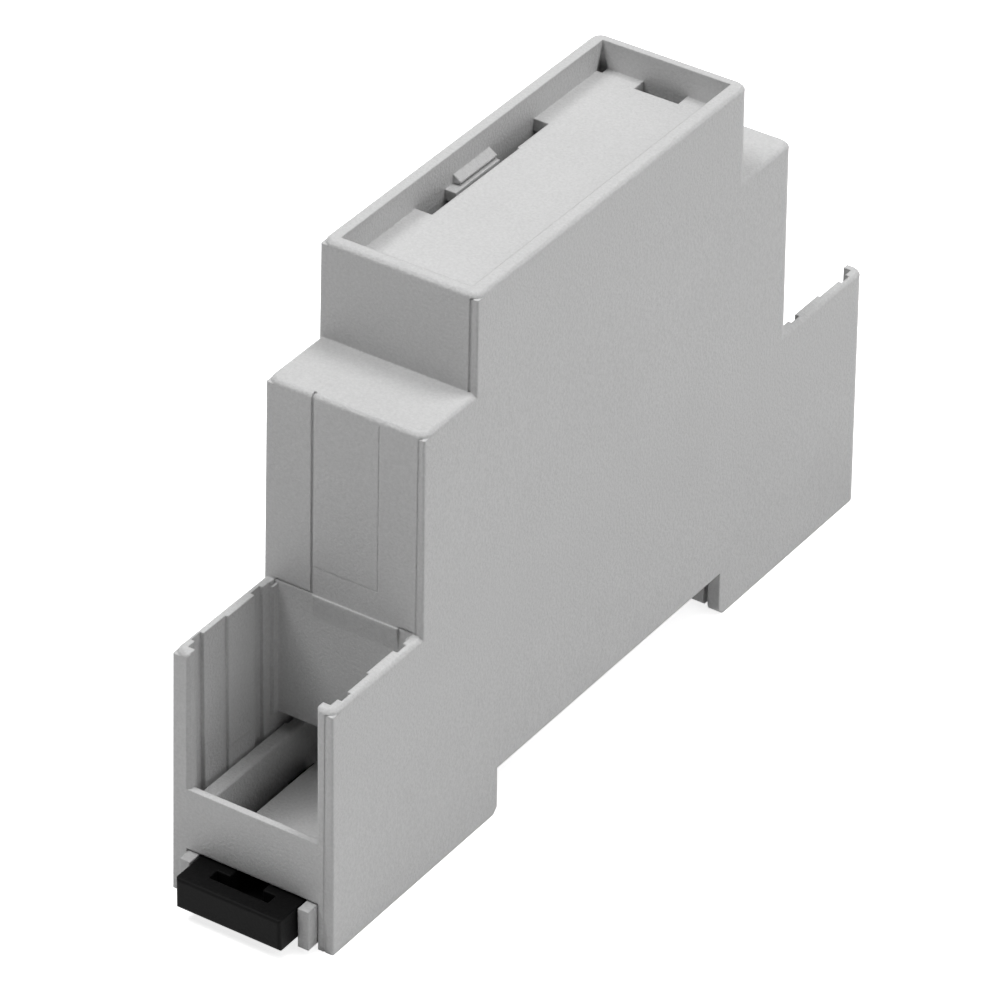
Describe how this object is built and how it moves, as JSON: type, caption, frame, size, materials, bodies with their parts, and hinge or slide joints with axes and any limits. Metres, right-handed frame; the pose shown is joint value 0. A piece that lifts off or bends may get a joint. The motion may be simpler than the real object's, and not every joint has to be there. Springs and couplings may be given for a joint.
{
  "type": "din rail enclosure",
  "caption": "Narrow stepped plastic housing with open wiring bays and a panel recess, and a sliding clip that grips a mounting rail.",
  "frame": {"origin": "middle of the flat seat that rests on the mounting rail, on the rail's centre line and the middle of the housing's width", "axes": "+X along the housing from the clip end to the far end, across the rail; +Y across the housing's width, along the rail; +Z away from the rail, towards the panel recess"},
  "size_m": [0.0938, 0.0178, 0.058],
  "materials": {
    "housing": "fine matte grain, light grey",
    "clip": "fine matte grain, black"
  },
  "bodies": {
    "housing": {"housing_hood": "housing", "housing_base": "housing"},
    "clip": {"rail_clip": "clip"}
  },
  "joints": [
    {"name": "clip_slide", "type": "slide", "parent": "housing", "child": "clip", "axis": [-1, 0, 0], "range_m": [0, 0.004], "stiffness_N_per_m": 1500}
  ]
}
